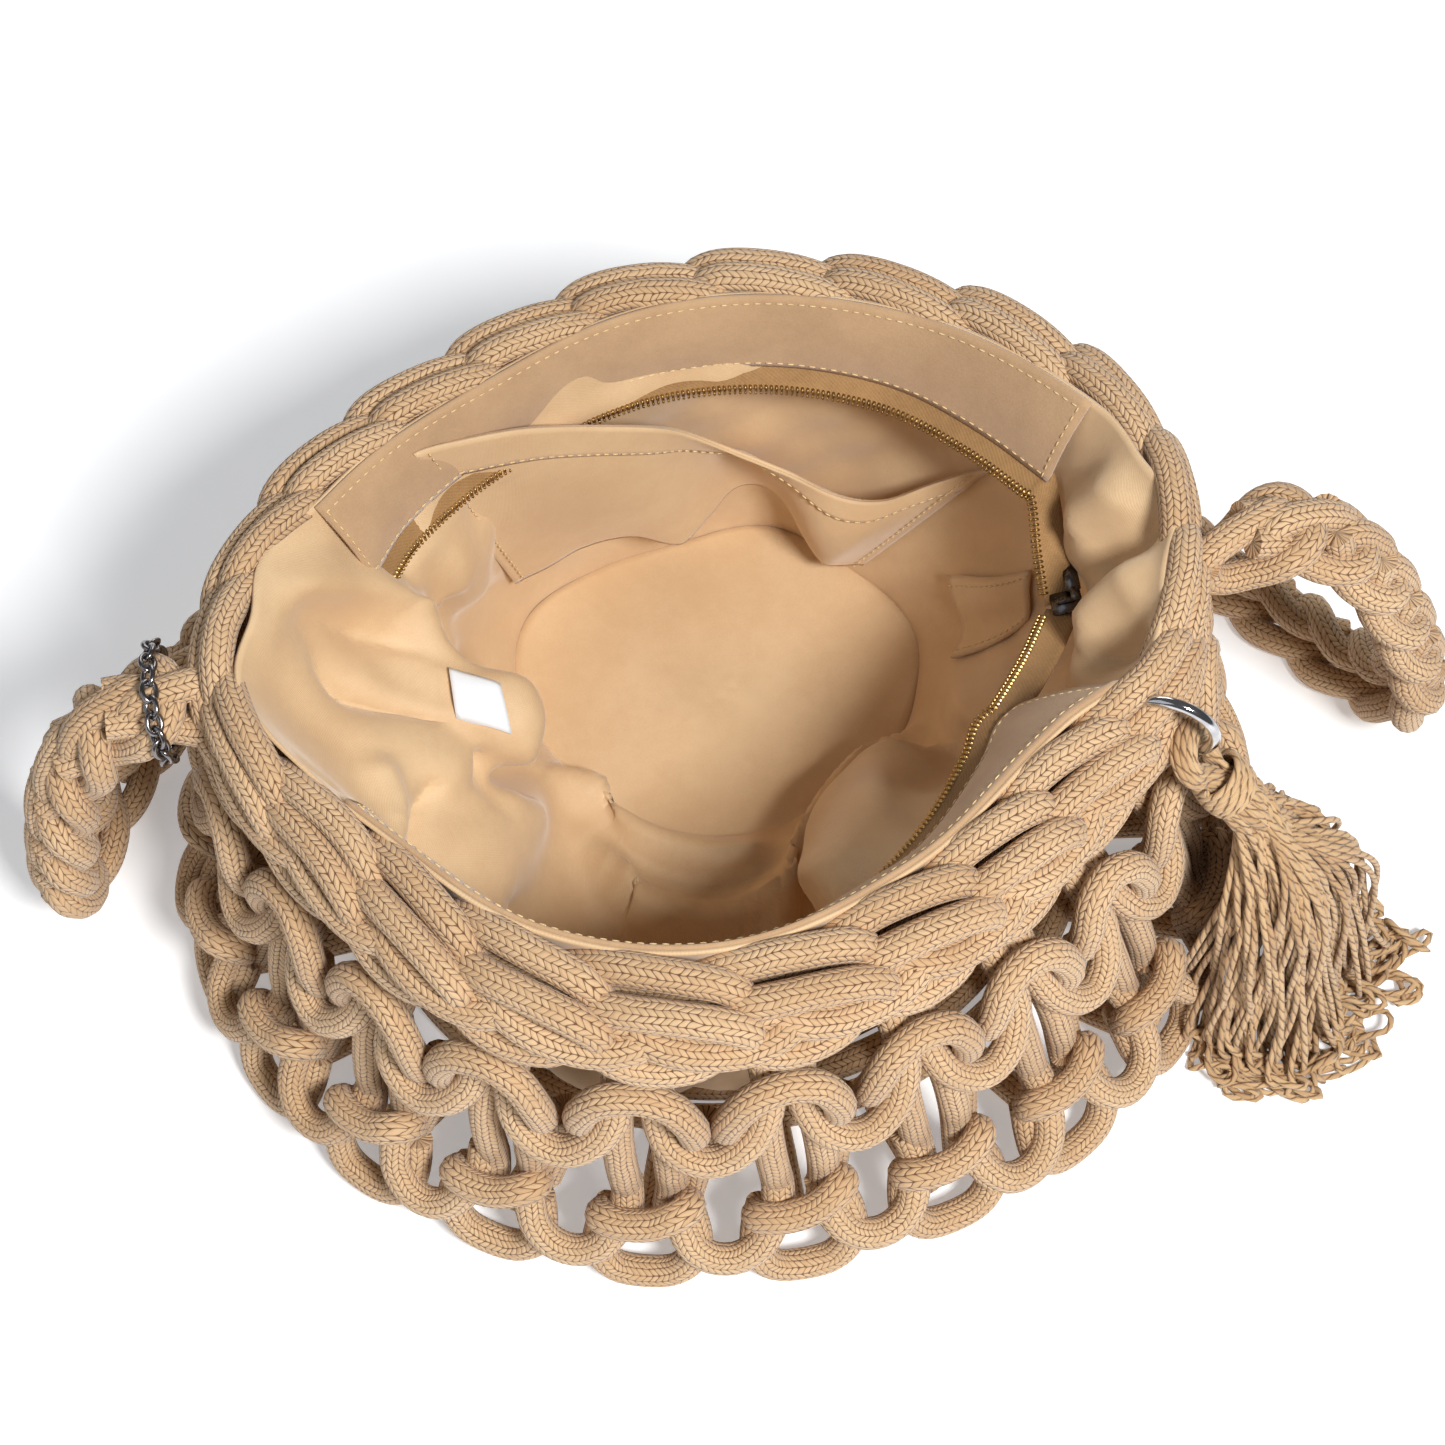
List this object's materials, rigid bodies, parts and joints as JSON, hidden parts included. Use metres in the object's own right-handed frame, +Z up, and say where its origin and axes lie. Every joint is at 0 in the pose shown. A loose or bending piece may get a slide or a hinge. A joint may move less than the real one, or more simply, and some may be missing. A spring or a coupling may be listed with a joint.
{
  "type": "rope shoulder bag",
  "caption": "Crocheted cotton rope shoulder bag standing open, with twill lining, open zip, rope strap, small curb chain, ring and tassel.",
  "frame": {"origin": "on the floor under the middle of the oval base", "axes": "+X to the right along the mouth's length, +Y to the back, +Z up"},
  "size_m": [0.4629, 0.3301, 0.1661],
  "materials": {
    "rope": "braided cotton rope, tan",
    "cord": "twisted cotton cord, tan",
    "twill": "satin twill lining, soft sheen",
    "suede": "imitation suede, matt",
    "tape": "woven zip tape, matt",
    "brass": "aged brass teeth",
    "dark_metal": "dark nickel plate, polished",
    "nickel": "polished nickel",
    "label": "white satin, bare"
  },
  "bodies": {
    "root": {"rope_rim": "rope", "rope_net": "rope", "rope_base": "rope", "lining": "twill", "slip_pocket": "twill", "facing_back": "suede", "facing_front": "suede", "zip_end_tab": "suede", "zip_tape_back": "tape", "zip_tape_front": "tape", "zip_teeth_back": "brass", "zip_teeth_front": "brass", "zip_slider": "dark_metal", "care_label": "label", "shoulder_strap": "rope", "strap_chain": "dark_metal", "tassel_ring": "nickel", "tassel": "cord"}
  },
  "joints": []
}
